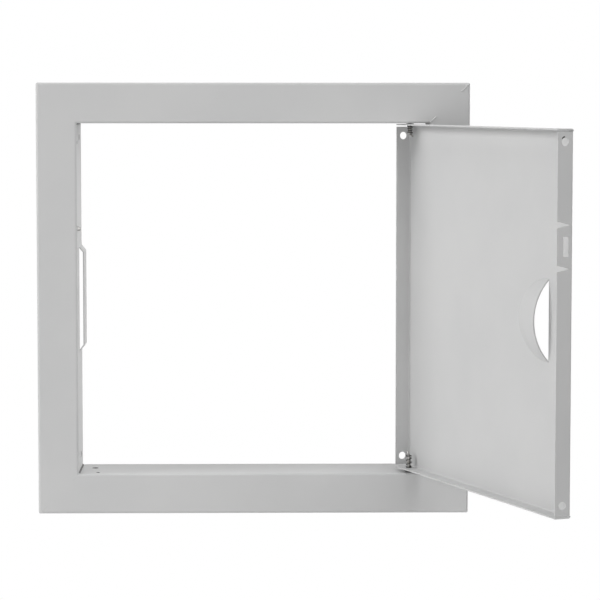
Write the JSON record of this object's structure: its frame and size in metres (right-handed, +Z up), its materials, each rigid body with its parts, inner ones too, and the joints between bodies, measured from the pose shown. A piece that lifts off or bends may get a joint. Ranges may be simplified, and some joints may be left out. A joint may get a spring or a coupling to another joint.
{
  "type": "ceiling access panel",
  "caption": "Square sheet-steel ceiling access panel: flanged frame with a deep neck and a folded tray door on sprung hinge pins, with a half-moon finger scoop and a snap latch.",
  "frame": {"origin": "middle of the opening in the plane of the ceiling or wall, where the flange's turned-back lip rests", "axes": "+Y goes into the opening, away from the room; +Z is up as pictured, along the hinge; +X points to the hinge side"},
  "size_m": [0.3466, 0.257, 0.3],
  "materials": {
    "frame_coat": "semi-gloss white powder coat",
    "weld_coat": "powder coat over a weld bead",
    "door_coat": "semi-gloss white powder coat",
    "stud_steel": "zinc plated",
    "pin_steel": "zinc plated",
    "spring_steel": "oiled dark spring wire",
    "washer_plastic": "black nylon"
  },
  "bodies": {
    "frame": {"frame_top": "frame_coat", "frame_bottom": "frame_coat", "frame_latch_side": "frame_coat", "frame_hinge_side": "frame_coat", "corner_welds": "weld_coat", "latch_stud": "stud_steel"},
    "door": {"door_panel": "door_coat", "hinge_pin_upper": "pin_steel", "hinge_pin_lower": "pin_steel", "hinge_washer_upper": "washer_plastic", "hinge_washer_lower": "washer_plastic", "spring_upper": "spring_steel", "spring_lower": "spring_steel"}
  },
  "joints": [
    {"name": "door_hinge", "type": "hinge", "parent": "frame", "child": "door", "pos_m": [0.1088, 0.003, 0], "axis": [0, 0, 1], "range_deg": [-111, 21]}
  ]
}
